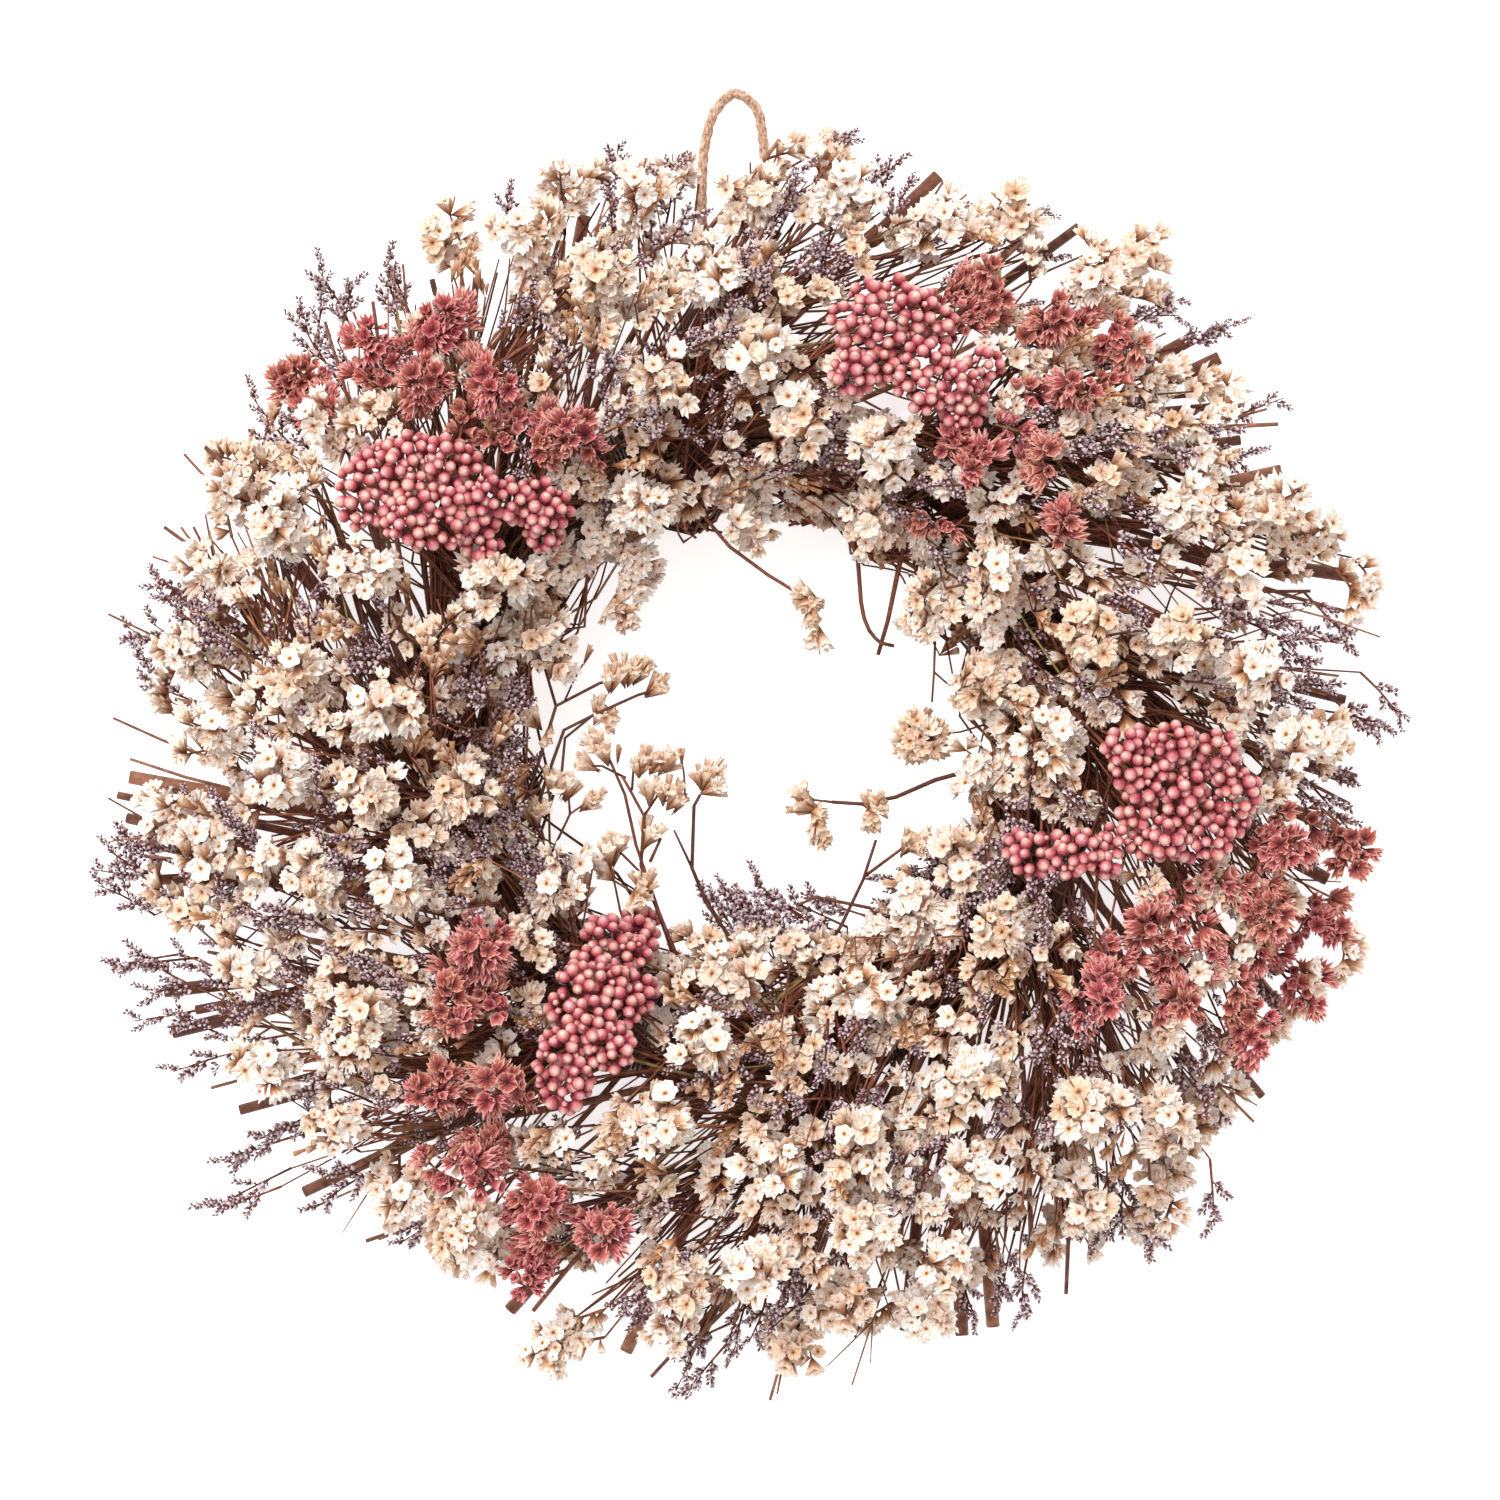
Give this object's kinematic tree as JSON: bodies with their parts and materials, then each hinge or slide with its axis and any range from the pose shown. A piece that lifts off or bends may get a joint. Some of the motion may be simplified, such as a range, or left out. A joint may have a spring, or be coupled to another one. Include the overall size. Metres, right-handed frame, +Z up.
{
  "type": "dried flower wreath",
  "caption": "Round wreath of dried statice, caspia and rice flower bunches bound on a ring of stems, with a twine hanging loop.",
  "frame": {"origin": "middle of the wreath's box, on the surface it lies on, without the twine loop", "axes": "+Z up, out of the flowers' face; +Y towards the hanging loop; +X to the right, seen from above"},
  "size_m": [0.3776, 0.3846, 0.0902],
  "materials": {
    "stems": "dry bark",
    "wire": "dull",
    "twine": "rough jute",
    "white_flowers": "dry papery",
    "pink_flowers": "dry papery",
    "caspia_flowers": "dry papery",
    "rice_flower_buds": "dry, slightly waxy"
  },
  "bodies": {
    "root": {"binding_wire_01": "wire", "binding_wire_02": "wire", "binding_wire_03": "wire", "binding_wire_04": "wire", "binding_wire_05": "wire", "binding_wire_06": "wire", "binding_wire_07": "wire", "binding_wire_08": "wire", "caspia_01": "caspia_flowers", "caspia_02": "caspia_flowers", "caspia_03": "caspia_flowers", "caspia_04": "caspia_flowers", "caspia_05": "caspia_flowers", "caspia_06": "caspia_flowers", "caspia_07": "caspia_flowers", "caspia_08": "caspia_flowers", "caspia_09": "caspia_flowers", "caspia_10": "caspia_flowers", "caspia_11": "caspia_flowers", "caspia_12": "caspia_flowers", "hanging_loop": "twine", "pink_statice_01": "pink_flowers", "pink_statice_02": "pink_flowers", "pink_statice_03": "pink_flowers", "pink_statice_04": "pink_flowers", "pink_statice_05": "pink_flowers", "pink_statice_06": "pink_flowers", "pink_statice_07": "pink_flowers", "rice_flower_01": "rice_flower_buds", "rice_flower_02": "rice_flower_buds", "rice_flower_03": "rice_flower_buds", "rice_flower_04": "rice_flower_buds", "stem_ring": "stems", "twine_tie": "twine", "white_statice_01": "white_flowers", "white_statice_02": "white_flowers", "white_statice_03": "white_flowers", "white_statice_04": "white_flowers", "white_statice_05": "white_flowers", "white_statice_06": "white_flowers", "white_statice_07": "white_flowers", "white_statice_08": "white_flowers", "white_statice_09": "white_flowers", "white_statice_10": "white_flowers", "white_statice_11": "white_flowers", "white_statice_12": "white_flowers", "white_statice_13": "white_flowers", "white_statice_14": "white_flowers", "white_statice_15": "white_flowers", "white_statice_16": "white_flowers", "white_statice_17": "white_flowers", "white_statice_18": "white_flowers", "white_statice_19": "white_flowers", "white_statice_20": "white_flowers", "white_statice_21": "white_flowers", "white_statice_22": "white_flowers", "white_statice_23": "white_flowers", "white_statice_24": "white_flowers", "white_statice_25": "white_flowers"}
  },
  "joints": []
}
